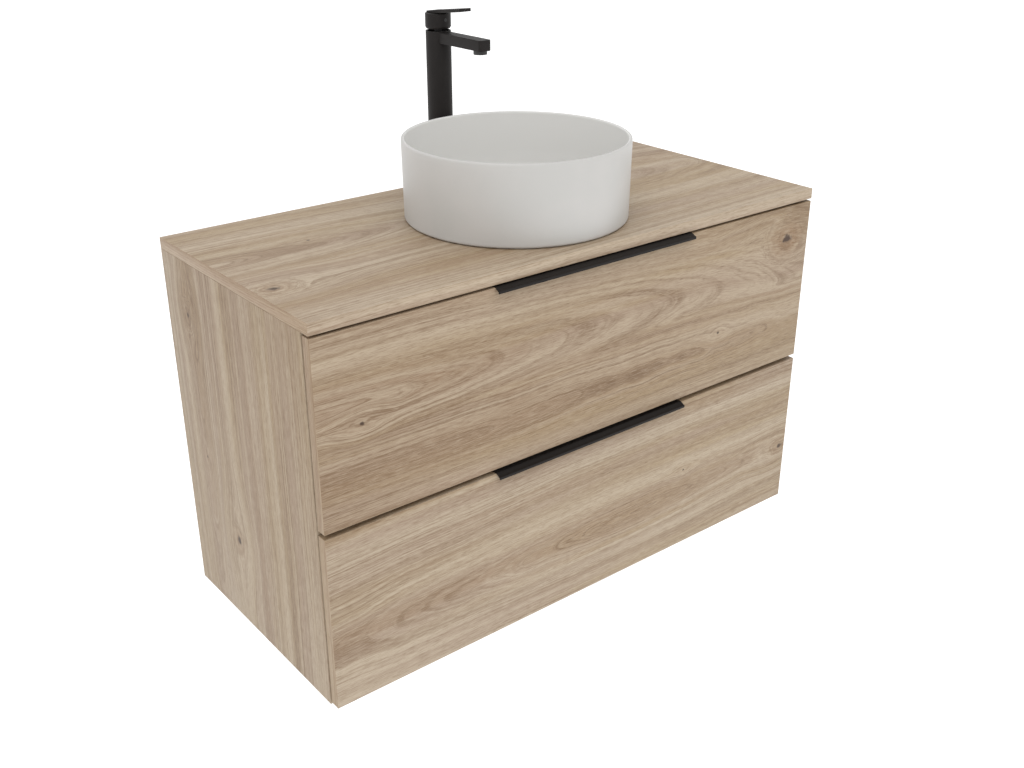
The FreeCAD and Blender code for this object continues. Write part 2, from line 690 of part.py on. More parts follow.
def waste():
    """A click-clack waste: flanged body with a guide for the plug's stem, gasket, nut and plug."""
    tube = turning("WasteTube", [
        ("waste_flange_radius", "0"), ("waste_flange_radius", "waste_flange_edge"),
        ("waste_flange_radius - waste_flange_bevel", "waste_flange_height"),
        ("waste_mouth_radius", "waste_flange_height"),
        ("waste_bore + 2", "0 - waste_funnel_depth / 2"), ("waste_bore", "0 - waste_funnel_depth"),
        ("waste_bore", "0 - waste_length"), ("waste_tail_radius", "0 - waste_length"),
        ("waste_tail_radius", "0 - waste_thread_length"), ("waste_thread_radius", "0 - waste_thread_length"),
        ("waste_thread_radius", "0")])
    place(tube, "0", BASIN_Y, SEAT_Z)
    guide = ring("StemGuide", "plug_stem_radius + 2 * fit", "guide_radius", "guide_height")
    place(guide, "0", BASIN_Y, f"{SEAT_Z} - guide_depth")
    ribs = []
    for number in range(3):
        angle = 120 * number + 90
        start = "(guide_radius - guide_rib / 2)"
        rib = box(f"GuideRib{number}", "0", "0", "0", f"waste_bore - {start} + 0.5", "guide_rib",
                  "guide_rib_height")
        place(rib, f"{start} * cos({angle}) + guide_rib / 2 * sin({angle})",
              f"{BASIN_Y} + {start} * sin({angle}) - guide_rib / 2 * cos({angle})",
              f"{SEAT_Z} - guide_depth + guide_rib",
              FreeCAD.Rotation(FreeCAD.Vector(0, 0, 1), angle))
        ribs.append(rib)
    node(fuse("WasteBody", tube, guide, *ribs), "waste_body")
    gasket = ring("WasteGasket", "waste_thread_radius + 4 * fit", "waste_nut_radius + 2", "gasket_thickness")
    node(place(gasket, "0", BASIN_Y, f"{UNDERSIDE} - gasket_thickness"), "waste_gasket")
    nut = ring("WasteNut", "waste_thread_radius + fit", "waste_nut_radius", "waste_nut_height")
    node(place(nut, "0", BASIN_Y, f"{UNDERSIDE} - gasket_thickness - waste_nut_height"), "waste_nut")
    plug = turning("Plug", [
        ("0", "plug_bottom"), ("plug_radius", "plug_bottom"), ("plug_radius", "plug_edge"),
        ("plug_radius - 2", "plug_shoulder"), ("0", "plug_top")])
    round_off(plug, "1", circle_at("plug_radius", "plug_edge"), "PlugEdge")
    place(plug, "0", BASIN_Y, SEAT_Z)
    stem = rod("PlugStem", "0", BASIN_Y, f"{SEAT_Z} + plug_edge - 0.3 - plug_stem_length",
               "plug_stem_radius", "plug_stem_length")
    node(fuse("PlugCap", plug, stem), "plug_cap")
    seal = ring("PlugSeal", "plug_stem_radius + 0.02", "plug_seal_radius", "3")
    node(place(seal, "0", BASIN_Y, f"{SEAT_Z} - 0.5"), "plug_seal")


def trap():
    """Inlet nut, trap body with its dip tube, cup, outlet nut and outlet pipe."""
    level = "(0 - trap_outlet_level)"
    tail_end = f"({SEAT_Z} - waste_length)"
    nut_base = f"({tail_end} - trap_nut_lap)"
    collar = f"({nut_base} + trap_outlet_level)"
    nut = turning("TrapInletNut", [
        ("waste_tail_radius + 4 * fit", "0"), ("trap_nut_radius", "0"),
        ("trap_nut_radius", "trap_nut_height - 2 * trap_nut_bevel"),
        ("trap_nut_radius - trap_nut_bevel", "trap_nut_height"),
        ("waste_tail_radius + 4 * fit", "trap_nut_height")])
    node(place(nut, "0", BASIN_Y, nut_base), "trap_inlet_nut")
    inner = "trap_radius - trap_wall"
    neck = "trap_nut_radius - trap_nut_bevel"
    head = turning("TrapHead", [
        ("waste_bore", collar), ("waste_bore", "0 - dip_tube_depth"),
        ("waste_tail_radius", "0 - dip_tube_depth"), ("waste_tail_radius", "trap_ceiling"),
        (inner, "trap_ceiling"), (inner, "0 - trap_skirt_depth"), ("trap_radius", "0 - trap_skirt_depth"),
        ("trap_radius", "trap_shoulder"), (neck, "trap_shoulder + 2 * trap_nut_bevel"), (neck, collar)])
    place(head, "0", BASIN_Y, level)
    spigot = rod("OutletSpigot", "0", f"{BASIN_Y} + trap_radius - 8", level, "spigot_radius",
                 "spigot_length + 8", "y")
    bore = rod("OutletBore", "0", f"{BASIN_Y} + waste_tail_radius + 2", level,
               "waste_tail_radius + 2 * fit", "2 * spigot_length + 2", "y")
    cavity = rod("HeadCavity", "0", BASIN_Y, f"{level} - trap_skirt_depth", inner,
                 "trap_skirt_depth + trap_ceiling")
    flange = cut("OutletCollar", spigot, cavity)
    node(cut("TrapBody", fuse("TrapCasting", head, flange), bore), "trap_body")
    cup = turning("TrapCup", [
        ("0", "0 - cup_bottom_depth"), ("trap_cup_radius - cup_bottom_edge", "0 - cup_bottom_depth"),
        ("trap_cup_radius", "cup_bottom_edge - cup_bottom_depth"), ("trap_cup_radius", "0 - cup_top_depth"),
        ("trap_radius + 2 * fit", "0 - cup_top_depth"),
        ("trap_radius + 2 * fit", "2 * trap_wall - cup_bottom_depth"),
        (inner, "trap_wall - cup_bottom_depth"), ("0", "trap_wall - cup_bottom_depth")])
    node(place(cup, "0", BASIN_Y, level), "trap_cup")
    nut_start = f"{BASIN_Y} + trap_radius + 4"
    outlet_nut = rod("OutletNutBlank", "0", nut_start, level, "trap_nut_radius", "outlet_nut_length", "y")
    hollow = rod("OutletNutBore", "0", nut_start, level, "spigot_radius + fit", "spigot_length - 3.5", "y")
    mouth = rod("OutletNutMouth", "0", nut_start, level, "waste_tail_radius + fit", "outlet_nut_length", "y")
    node(cut("OutletNut", outlet_nut, hollow, mouth), "trap_outlet_nut")
    start = f"{BASIN_Y} + trap_radius"
    pipe = rod("OutletPipeOutside", "0", start, level, "waste_tail_radius", f"0 - ({start})", "y")
    inside = rod("OutletPipeInside", "0", start, level, "waste_bore", f"0 - ({start})", "y")
    stop = rod("OutletStop", "0", "0 - outlet_spigot - outlet_stop", level,
               "waste_tail_radius + outlet_stop_height", "outlet_stop", "y")
    node(cut("OutletPipe", fuse("OutletPipeWithStop", pipe, stop), inside), "trap_outlet_pipe")


# ---------------------------------------------------------------- tap

TAP_TOP = f"({COUNTER} + tap_height)"
SPOUT_BOTTOM = f"({TAP_TOP} - spout_below_top - spout_height)"
AERATOR_Y = f"({TAP_Y} - aerator_reach)"


def upright_at(u, v):
    """Test for a straight edge along Z at this X and Y in a body's own frame."""
    def wanted(edge):
        ends = [vertex.Point for vertex in edge.Vertexes]
        return len(ends) == 2 and all(
            abs(end.x - value(u)) < 0.01 and abs(end.y - value(v)) < 0.01 for end in ends)
    return wanted


def bar(name, width, front, back, height, corner):
    """A flat bar along Y between two places, with the two upright edges at its front rounded."""
    body = extrusion(name, "XY_Plane", height, [
        (f"0 - {width} / 2", front), (f"{width} / 2", front), (f"{width} / 2", back),
        (f"0 - {width} / 2", back)])
    for side, sign in (("Left", "-1"), ("Right", "1")):
        round_off(body, corner, upright_at(f"{sign} * {width} / 2", front), f"{name}{side}Corner")
    return body


def waterways():
    """Passages in the tap body: both supplies, the mixed outlet, the spout and the aerator's seat."""
    base = f"{COUNTER} - tap_shank_length"
    floor = "tap_height - cartridge_depth"
    ways = []
    for number, sign in enumerate(("-1", "1")):
        x = f"{sign} * inlet_offset"
        y = f"{TAP_Y} + inlet_setback"
        ways.append(rod(f"Inlet{number}", x, y, base, "inlet_radius", "inlet_depth"))
        ways.append(rod(f"Supply{number}", x, y, base, "supply_radius", f"{floor} + tap_shank_length + 1"))
    port_level = f"{COUNTER} + {floor} - 3"
    ways.append(rod("MixedPort", "0", f"{TAP_Y} - 8", port_level, "mixed_radius", "5"))
    ways.append(rod("MixedLink", "0", f"{TAP_Y} - 7", port_level, "mixed_radius", "10", "-y"))
    ways.append(rod("Riser", "0", f"{TAP_Y} - 17", f"{port_level} - 2", "mixed_radius", "50"))
    ways.append(rod("SpoutBore", "0", f"{TAP_Y} - 16", f"{TAP_TOP} - spout_bore_level",
                    "spout_bore_radius", "aerator_reach - 12", "-y"))
    ways.append(rod("AeratorSeat", "0", AERATOR_Y, SPOUT_BOTTOM, "aerator_neck + fit", "9"))
    for name, radius, depth in (("Mouth", "cap_radius - 2.1", "mouth_depth"),
                                ("NutBore", "nut_bore", "nut_depth"),
                                ("CartridgeBore", "cartridge_bore", "cartridge_depth")):
        ways.append(rod(name, "0", TAP_Y, f"{TAP_TOP} - {depth}", radius, depth))
    ways.append(rod("StudHole", "0", f"{TAP_Y} - stud_offset", base, "stud_radius + fit",
                    "tap_shank_length"))
    return ways


def tap_body():
    """The column with its shank and the spout bar, bored for the water and the cartridge."""
    column = turning("Column", [
        ("0", "0 - tap_shank_length"), ("tap_shank_radius", "0 - tap_shank_length"),
        ("tap_shank_radius", "seal_thickness"), ("tap_radius", "seal_thickness"),
        ("tap_radius", "tap_height"), ("0", "tap_height")])
    place(column, "0", TAP_Y, COUNTER)
    spout = bar("Spout", "spout_width", "0 - spout_reach", "0 - 14", "spout_height", "spout_corner")
    place(spout, "0", TAP_Y, SPOUT_BOTTOM)
    node(cut("TapBody", fuse("TapCasting", column, spout), *waterways()), "tap_body")
    seal = ring("TapSeal", "tap_shank_radius + 4 * fit", "tap_radius - 0.8", "seal_thickness")
    node(place(seal, "0", TAP_Y, COUNTER), "tap_base_seal")
    aerator = turning("Aerator", [
        ("aerator_mouth", "0 - aerator_drop"), ("aerator_radius", "0 - aerator_drop"),
        ("aerator_radius", "0"), ("aerator_neck", "0"), ("aerator_neck", "aerator_height"),
        ("0", "aerator_height"), ("0", "aerator_screen"), ("aerator_mouth", "aerator_screen")])
    node(place(aerator, "0", AERATOR_Y, SPOUT_BOTTOM), "tap_aerator")


def tap_fixing():
    """Below the countertop: stud, horseshoe clamp plate and hexagon nut."""
    stud_y = f"{TAP_Y} - stud_offset"
    stud = rod("TapStud", "0", stud_y, f"{COUNTER} - stud_below_top", "stud_radius", "stud_length")
    node(stud, "tap_stud")
    plate_z = f"{UNDERSIDE} - clamp_thickness"
    disc = rod("ClampDisc", "0", TAP_Y, plate_z, "clamp_radius", "clamp_thickness")
    slot = box("ClampSlot", "0 - clamp_slot / 2", f"{TAP_Y} - 3", plate_z, "clamp_slot",
               "clamp_radius + 8", "clamp_thickness")
    hole = rod("ClampHole", "0", stud_y, plate_z, "stud_radius + 6 * fit", "clamp_thickness")
    node(cut("ClampPlate", disc, slot, hole), "tap_clamp_plate")
    blank = doc.addObject("Part::Prism", "StudNutBlank")
    blank.Polygon = 6
    bind(blank, Circumradius="stud_nut_size / 2 / cos(30)", Height="stud_nut_height")
    nut_z = f"{plate_z} - stud_nut_height"
    place(blank, "0", stud_y, nut_z)
    bore = rod("StudNutBore", "0", stud_y, nut_z, "stud_radius + fit", "stud_nut_height")
    node(cut("StudNut", blank, bore), "tap_stud_nut")


def cartridge():
    """The mixing cartridge, the nut that holds it, and the turning carrier with the lever's pin."""
    core = turning("Cartridge", [
        ("0", "4 * fit - cartridge_depth"), ("cartridge_radius", "4 * fit - cartridge_depth"),
        ("cartridge_radius", "0 - nut_depth - 2 * fit"), ("cartridge_neck", "0 - nut_depth - 2 * fit"),
        ("cartridge_neck", "0 - 5"), ("spindle_radius", "0 - 5"), ("spindle_radius", "0 - spindle_depth"),
        ("0", "0 - spindle_depth")])
    node(place(core, "0", TAP_Y, TAP_TOP), "tap_cartridge")
    nut = ring("CartridgeNut", "cartridge_neck + 4 * fit", "nut_bore - fit", "nut_height")
    node(place(nut, "0", TAP_Y, f"{TAP_TOP} - nut_depth"), "cartridge_nut")
    spindle = rod("Spindle", "0", TAP_Y, f"{TAP_TOP} - spindle_depth + 4 * fit", "spindle_radius - fit",
                  "spindle_depth - 4")
    neck = box("CarrierNeck", "0 - neck_width / 2", f"{TAP_Y} - neck_width / 2", f"{TAP_TOP} - 4",
               "neck_width", "neck_width", "lever_pivot - tap_height + 8")
    pin = rod("LeverPin", "0 - lever_pin_length / 2", TAP_Y, f"{COUNTER} + lever_pivot",
              "lever_pin_radius", "lever_pin_length", "x")
    node(fuse("LeverCarrier", spindle, neck, pin), "lever_carrier")


def lever():
    """The hollow cap with its rising plate, the set screw in its boss and the plug that hides it."""
    cap = turning("Cap", [
        ("0", "cap_top"), ("cap_radius", "cap_top"), ("cap_radius", "cap_bottom + cap_chamfer_height"),
        ("cap_radius - cap_chamfer", "cap_bottom"), ("cap_radius - cap_wall", "cap_bottom"),
        ("cap_radius - cap_wall", "cap_top - cap_wall"), ("0", "cap_top - cap_wall")])
    round_off(cap, "cap_edge", circle_at("cap_radius", "cap_top"), "CapTopEdge")
    place(cap, "0", TAP_Y, COUNTER)
    plate = bar("LeverPlate", "lever_width", "0", "lever_reach + 17", "lever_plate", "lever_corner")
    place(plate, "0", f"{TAP_Y} - lever_reach - lever_plate * sin(lever_rise)",
          f"{COUNTER} + lever_tip - lever_plate * cos(lever_rise)",
          FreeCAD.Rotation(FreeCAD.Vector(1, 0, 0), -DIMENSIONS["lever_rise"]))
    parts = [cap, plate]
    for number, x in enumerate(("0 - cheek_start - cheek_thickness", "cheek_start")):
        parts.append(box(f"Cheek{number}", x, f"{TAP_Y} - cheek_depth / 2", f"{COUNTER} + lever_pivot - 6",
                         "cheek_thickness", "cheek_depth", "cap_top - lever_pivot + 5"))
    screw_z = f"{COUNTER} + lever_pivot - set_screw_below_pin"
    before_cap = f"{TAP_Y} - cap_radius - 1"
    parts.append(rod("ScrewBoss", "0", f"{TAP_Y} - cap_radius + 1", screw_z, "boss_radius", "11", "y"))
    bores = [
        rod("PinBore", "0 - lever_pin_length / 2 - 2.5", TAP_Y, f"{COUNTER} + lever_pivot",
            "lever_pin_radius + fit", "lever_pin_length + 5", "x"),
        rod("ScrewBore", "0", before_cap, screw_z, "set_screw_radius", "16", "y"),
        rod("PlugBore", "0", before_cap, screw_z, "plug_bore", "4", "y"),
    ]
    node(cut("Lever", fuse("LeverCasting", *parts), *bores), "tap_lever")
    node(rod("LeverScrew", "0", f"{TAP_Y} - cap_radius + 5", screw_z, "set_screw_radius", "9.5", "y"),
         "lever_screw")
    node(rod("LeverPlug", "0", f"{TAP_Y} - cap_radius - 0.4", screw_z, "plug_bore", "3.4", "y"),
         "lever_plug")


carcass()
hanging()
for drawer_level in ("upper", "lower"):
    runners(drawer_level)
    drawer(drawer_level)
basin()
waste()
trap()
tap_body()
tap_fixing()
cartridge()
lever()
doc.recompute()

for thing in doc.Objects:
    if "Invalid" in thing.State or "Error" in thing.State:
        raise RuntimeError(f"{thing.Label} failed: {thing.State}")
os.makedirs("parts", exist_ok=True)
for sub_part in nodes:
    if sub_part.Shape.isNull() or not sub_part.Shape.isValid():
        raise RuntimeError(f"{sub_part.Label} has no valid shape")
    sub_part.Shape.exportStep(f"parts/{sub_part.Label}.step")
    print(sub_part.Label, len(sub_part.Shape.Solids), round(sub_part.Shape.Volume / 1000, 2))
print(len(nodes), "sub-parts")
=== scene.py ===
"""Looks of the wall-hung vanity: woodgrain laminate boards, a matt ceramic bowl, a matt black tap."""
import json

import bpy
import numpy as np
from mathutils import Matrix, Vector


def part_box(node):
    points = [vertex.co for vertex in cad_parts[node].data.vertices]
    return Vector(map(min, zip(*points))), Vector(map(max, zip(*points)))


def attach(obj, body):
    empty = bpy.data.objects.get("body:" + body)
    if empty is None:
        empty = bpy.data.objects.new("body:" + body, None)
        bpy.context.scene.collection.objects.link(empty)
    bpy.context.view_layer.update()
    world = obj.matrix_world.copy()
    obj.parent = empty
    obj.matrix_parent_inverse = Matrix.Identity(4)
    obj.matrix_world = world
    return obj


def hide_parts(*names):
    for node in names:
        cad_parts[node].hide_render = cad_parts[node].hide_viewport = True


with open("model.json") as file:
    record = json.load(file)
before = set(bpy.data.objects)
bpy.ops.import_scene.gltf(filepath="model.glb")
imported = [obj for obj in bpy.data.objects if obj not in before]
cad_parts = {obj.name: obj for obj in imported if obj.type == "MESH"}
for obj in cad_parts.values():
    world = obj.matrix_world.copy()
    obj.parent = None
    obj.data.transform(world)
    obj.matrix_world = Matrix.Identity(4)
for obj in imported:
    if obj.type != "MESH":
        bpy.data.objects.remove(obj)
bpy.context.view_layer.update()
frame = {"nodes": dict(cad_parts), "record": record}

MM = 0.001
SKY = 1.0
FLOOR_GLOW = 0.78
OVERHEAD_WATTS = 22
LEFT_WATTS = 4
COUNTER_HEIGHT = 0.85
CAMERA_PLACE = (-1.14364, -1.66711, 0.61810)
CAMERA_RIGHT = (0.78087, -0.62469, -0.00017)
CAMERA_FORWARD = (0.56565, 0.70718, -0.42419)
CAMERA_LENS = 40.894


# ---------------------------------------------------------------- shader maths

class Signal:
    """A socket of a material's node tree; arithmetic on values adds Math nodes."""

    def __init__(self, tree, socket):
        self.tree = tree
        self.socket = socket

    def math(self, operation, *values):
        return self.tree.add("ShaderNodeMath", {"operation": operation}, values)

    def __add__(self, other):
        return self.math("ADD", self, other)

    def __sub__(self, other):
        return self.math("SUBTRACT", self, other)

    def __rsub__(self, other):
        return self.math("SUBTRACT", other, self)

    def __mul__(self, other):
        return self.math("MULTIPLY", self, other)

    def __truediv__(self, other):
        return self.math("DIVIDE", self, other)

    def __rtruediv__(self, other):
        return self.math("DIVIDE", other, self)

    def __abs__(self):
        return self.math("ABSOLUTE", self)

    def __gt__(self, other):
        return self.math("GREATER_THAN", self, other)

    __radd__ = __add__
    __rmul__ = __mul__

    def at_least(self, other):
        return self.math("MAXIMUM", self, other)

    def root(self):
        return self.math("SQRT", self)

    def ramp(self, low, high):
        """0 below low, 1 above high, smooth between."""
        return self.tree.add("ShaderNodeMapRange", {"interpolation_type": "SMOOTHSTEP"},
                             {"Value": self, "From Min": low, "From Max": high})


class Material:
    """A node material that is built by calls; its surface is one Principled shader."""

    def __init__(self, name):
        self.block = bpy.data.materials.new(name)
        self.block.use_nodes = True
        self.nodes = self.block.node_tree.nodes
        self.links = self.block.node_tree.links
        self.nodes.clear()
        output = self.nodes.new("ShaderNodeOutputMaterial")
        self.shader = self.nodes.new("ShaderNodeBsdfPrincipled")
        self.links.new(self.shader.outputs[0], output.inputs[0])

    def add(self, kind, settings, inputs, output=0):
        """A node of any type: its settings first, then its sockets' values or links."""
        node = self.nodes.new(kind)
        for name, setting in settings.items():
            setattr(node, name, setting)
        pairs = inputs.items() if isinstance(inputs, dict) else enumerate(inputs)
        for key, value in pairs:
            self.feed(node.inputs[key], value)
        return Signal(self, node.outputs[output])

    def feed(self, socket, value):
        if isinstance(value, Signal):
            self.links.new(value.socket, socket)
        else:
            socket.default_value = value

    def surface(self, **values):
        """Sockets of the Principled shader, named with underscores for spaces."""
        for name, value in values.items():
            self.feed(self.shader.inputs[name.replace("_", " ")], value)
        return self.block

    def place(self):
        """Object coordinates as three values."""
        point = self.add("ShaderNodeTexCoord", {}, {}, "Object")
        return [self.add("ShaderNodeSeparateXYZ", {}, [point], axis) for axis in range(3)]

    def facing(self):
        """How squarely the surface faces along X, Y and Z, each 0 to 1."""
        normal = self.add("ShaderNodeNewGeometry", {}, {}, "True Normal")
        return [abs(self.add("ShaderNodeSeparateXYZ", {}, [normal], axis)) for axis in range(3)]

    def noise(self, point, detail=2.0, roughness=0.5):
        """Noise from 0 to 1 at three coordinates that are already scaled."""
        vector = self.add("ShaderNodeCombineXYZ", {}, point)
        return self.add("ShaderNodeTexNoise", {"noise_dimensions": "3D"},
                        {"Vector": vector, "Scale": 1.0, "Detail": detail, "Roughness": roughness})

    def blend(self, factor, first, second, kind="MIX"):
        """One colour going over to another."""
        return self.add("ShaderNodeMix", {"data_type": "RGBA", "blend_type": kind},
                        {0: factor, 6: first, 7: second}, 2)

    def choose(self, mask, where, otherwise):
        """A value where the mask is 1 and another where it is 0."""
        return mask * where + (1 - mask) * otherwise

    def bump(self, height, distance, strength=1.0):
        return self.add("ShaderNodeBump", {},
                        {"Strength": strength, "Distance": distance, "Height": height})


def linear(red, green, blue):
    """A colour given in display values from 0 to 255, as the linear values of a shader."""
    def channel(value):
        value /= 255
        return value / 12.92 if value <= 0.04045 else ((value + 0.055) / 1.055) ** 2.4
    return (channel(red), channel(green), channel(blue), 1.0)


# ---------------------------------------------------------------- woodgrain laminate

PALE = linear(188, 172, 151)
TAN = linear(164, 143, 113)
PINK = linear(166, 146, 127)
BROWN = linear(147, 121, 95)
LINE = linear(124, 99, 74)
KNOT_WARM = linear(136, 103, 68)
KNOT_CORE = linear(66, 48, 38)


# for each layer of the print: scale along the grain, scale across it, shift, octaves, roughness
GRAIN = {
    "drift": (1.0, 2.0, 0.0, 2.0, 0.5),
    "ripple": (4.5, 14.0, 4.0, 3.0, 0.5),
    "wobble": (70.0, 90.0, 2.0, 3.0, 0.6),
    "broad": (0.55, 17.0, 10.0, 2.0, 0.55),
    "hue": (0.7, 15.0, 40.0, 3.0, 0.55),
    "band": (0.8, 85.0, 0.0, 3.0, 0.62),
    "line": (1.3, 330.0, 30.0, 3.0, 0.65),
    "strength": (2.2, 9.0, 80.0, 2.0, 0.5),
    "fibre": (42.0, 850.0, 50.0, 2.0, 0.75),
    "wisp": (12.0, 300.0, 55.0, 2.0, 0.6),
    "pore": (70.0, 800.0, 60.0, 1.0, 0.5),
    "blotch": (5.0, 16.0, 70.0, 3.0, 0.6),
}
SQUARE_ON = 0.7
RING_MERGE = 12 * MM
LARGE_KNOT = 20 * MM


def grain(mat, layer, u, v, depth):
    """One layer of the print at u along the grain, v across it and a depth into the log."""
    along, across, shift, detail, roughness = GRAIN[layer]
    return mat.noise([u * along, v * across, depth + shift], detail, roughness)


def blob(mat, u, v, length, width, ragged=0.0):
    """1 at the middle of an ellipse, falling away to 0 past its edge; ragged roughens the edge."""
    across = u / length
    over = v / width
    return 1 - ((across * across + over * over).root() + ragged).ramp(0.15, 1.25)


def board_axes(mat, centre, along, across):
    """Place on the face, place along the running grain, and a mask of the two ends.

    The banding of an end has its grain along the edge; that of a long edge carries on from the face.
    """
    point = mat.place()
    facing = mat.facing()
    thin = [axis for axis in "xyz" if axis not in (along, across)][0]
    index = {"x": 0, "y": 1, "z": 2}
    u_face, v_face, w = [point[index[axis]] - centre[index[axis]] for axis in (along, across, thin)]
    end = facing[index[along]] > SQUARE_ON
    edge = facing[index[across]] > SQUARE_ON
    u = mat.choose(end, v_face + 3.7, u_face)
    v = mat.choose(end, w * 1.6 + 0.9, mat.choose(edge, w + v_face, v_face))
    return u_face, v_face, u, v, end


def pith_rings(mat, piths, u, v, v_bent, seed):
    """Distance to the nearest pith, with a smooth join where two of them meet."""
    rings = None
    for number, (v0, u0, slope, swing) in enumerate(piths):
        wander = mat.noise([u * 7.0, seed + 7.0 * number, v * 4.0], 2.0, 0.55) - 0.5
        depth = (u - u0) * slope + wander * swing
        away = v_bent - v0
        ring = (away * away + depth * depth).root()
        rings = ring if rings is None else rings.math("SMOOTH_MIN", rings, ring, RING_MERGE)
    return rings


def knot_rings(mat, knots, rings, place, turned, face, seed):
    """Rings closed round each knot, with masks of the knots' dark cores and warm surroundings."""
    cores = None
    warmth = None
    for u0, v0, radius in knots:
        size = min(1.0, (radius / LARGE_KNOT) ** 3)
        wobble = (grain(mat, "wobble", *turned, seed) - 0.5) * radius * 0.9
        du = (place[0] - u0) * 0.7
        dv = place[1] - v0
        away = (du * du + dv * dv).root() + wobble
        near = (1 - away.ramp(radius * 0.6, radius * 2.6)) * face * size
        rings = mat.choose(near, away * 1.3 + v0, rings)
        core = (1 - away.ramp(radius * 0.2, radius * 0.5)) * face
        warm = (1 - away.ramp(radius * 0.3, radius * 2.3)) * face * size
        cores = core if cores is None else cores.at_least(core)
        warmth = warm if warmth is None else warmth.at_least(warm)
    return rings, cores, warmth


def laminate(name, centre, along, across, seed, tone, piths, knots, patches=()):
    """Printed light oak whose lines, bands and fibres follow the distance to the tree's pith.

    Coordinates are metres from the face's centre, u along the grain and v across it.
    A pith is (v0, u0, slope, swing): a ring is a line of equal sqrt((v - v0)^2 + d^2), where the
    depth d = slope (u - u0), plus a wander of up to swing, grows along the board. Rings then close in
    tongues that point along u on the line v = v0, and run straight far from it.
    A knot is (u, v, radius): the grain parts round it, and rings close on a dark core.
    A patch is (u, v, length, width, colour, strength): a soft streak or stain.
    The tone multiplies the whole board's colour; on the left side and the upper drawer front it is a
    painted shade that darkens them for the light falling there, and on the other boards it stays near
    1.
    """
    mat = Material(name)
    u_face, v_face, u, v, end = board_axes(mat, centre, along, across)
    face = 1 - end

    drift = grain(mat, "drift", u, v, seed) - 0.5
    ripple = grain(mat, "ripple", u, v, seed) - 0.5
    v_bent = v + drift * 0.035 + ripple * 0.006
    for u0, v0, radius in knots:
        parting = blob(mat, u_face - u0, v_face - v0, radius * 9, radius * 4.5) * face
        v_bent = v_bent - (v_face - v0) * parting * 0.8
    rings = pith_rings(mat, piths, u, v, v_bent, seed)
    heart = (1 - rings.ramp(8 * MM, 50 * MM)) * face
    rings, knot_core, knot_warm = knot_rings(
        mat, knots, rings, (u_face, v_face), (u, v), face, seed)

    turn = v_bent * 9.0 + seed
    broad = grain(mat, "broad", u, v_bent, seed)
    hue = grain(mat, "hue", u, v_bent, seed)
    band = grain(mat, "band", u, rings, turn)
    lines = grain(mat, "line", u, rings, turn)
    strength = grain(mat, "strength", u, v, seed).ramp(0.3, 0.65)
    fibre = grain(mat, "fibre", u, v_bent, seed)
    wisp = grain(mat, "wisp", u, v_bent, seed)
    pores = grain(mat, "pore", u, v_bent, seed).ramp(0.57, 0.68)
    blotch = grain(mat, "blotch", u, v, seed)

    # broad hues, stains and the warm heart of the board
    colour = mat.blend(hue.ramp(0.36, 0.62), TAN, PINK)
    colour = mat.blend(broad.ramp(0.44, 0.64) * 0.70, colour, PALE)
    colour = mat.blend((1 - broad.ramp(0.30, 0.46)) * 0.50, colour, BROWN)
    for u0, v0, length, width, shade, amount in patches:
        stain = blob(mat, u_face - u0, v_bent - v0, length, width, (blotch - 0.5) * 0.9)
        colour = mat.blend(stain * amount * face, colour, shade)
    colour = mat.blend(heart * 0.45, colour, BROWN)
    colour = mat.blend(knot_warm * 0.85, colour, KNOT_WARM)

    # yearly bands and lines
    ring_dark = 1 - band.ramp(0.30, 0.50)
    line_dark = 1 - lines.ramp(0.34, 0.54)
    colour = mat.blend(band.ramp(0.50, 0.68) * 0.62, colour, PALE)
    colour = mat.blend(ring_dark * (0.26 + strength * 0.40), colour, LINE)
    colour = mat.blend(line_dark * (0.20 + strength * 0.50 + heart * 0.35), colour, LINE)

    # fine fibres, each lightening above the middle value and darkening below it, and pores
    for layer, lighter, darker in ((wisp, 1.3, 0.8), (fibre, 3.0, 2.8)):
        colour = mat.blend((layer - 0.5).at_least(0.0) * lighter, colour, PALE)
        colour = mat.blend((0.5 - layer).at_least(0.0) * darker, colour, LINE)
    colour = mat.blend(pores * (0.22 + line_dark * 0.40), colour, LINE)

    colour = mat.blend(knot_core * 0.9, colour, KNOT_CORE)
    colour = mat.blend(end * 0.2, colour, BROWN)
    # the tone multiplier: painted shade on the left side and the upper drawer front
    colour = mat.blend(1.0, colour, (*tone, 1), "MULTIPLY")
    height = fibre * 0.7 + lines * 0.3 - pores * 0.6
    return mat.surface(Base_Color=colour, Roughness=0.55 + (fibre - 0.5) * 0.14,
                       Normal=mat.bump(height, 0.12 * MM, 0.5), Specular_IOR_Level=0.3)


def board_centre(node):
    low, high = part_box(node)
    return [(a + b) / 2 for a, b in zip(low, high)]


# ---------------------------------------------------------------- other materials

def ceramic():
    """Matt off-white ceramic with faint mottling; inside the bowl the colour is painted lighter, a
    painted light standing in for the light that falls into the bowl.
    """
    mat = Material("matt_ceramic")
    x, y, z = mat.place()
    cloud = mat.noise([x * 14.0, y * 14.0, z * 14.0], 3.0)
    grain = mat.noise([x * 900.0, y * 900.0, z * 900.0], 2.0)
    low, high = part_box("basin")
    across = x - (low[0] + high[0]) / 2
    over = y - (low[1] + high[1]) / 2
    inner_edge = (high[0] - low[0]) / 2 - 3 * MM
    inside = 1 - (across * across + over * over).root().ramp(inner_edge - 1 * MM, inner_edge)
    inside = inside * z.ramp(low[2] + 10 * MM, low[2] + 12 * MM)
    colour = mat.blend(cloud.ramp(0.3, 0.7), linear(186, 185, 182), linear(190, 188, 185))
    # painted light: the inside of the bowl is coloured lighter than the outside, for the light falling
    # into it
    colour = mat.blend(inside, colour, linear(214, 213, 210))
    return mat.surface(Base_Color=colour, Roughness=0.42 + (cloud - 0.5) * 0.06,
                       Normal=mat.bump(grain, 0.00005, 0.35))


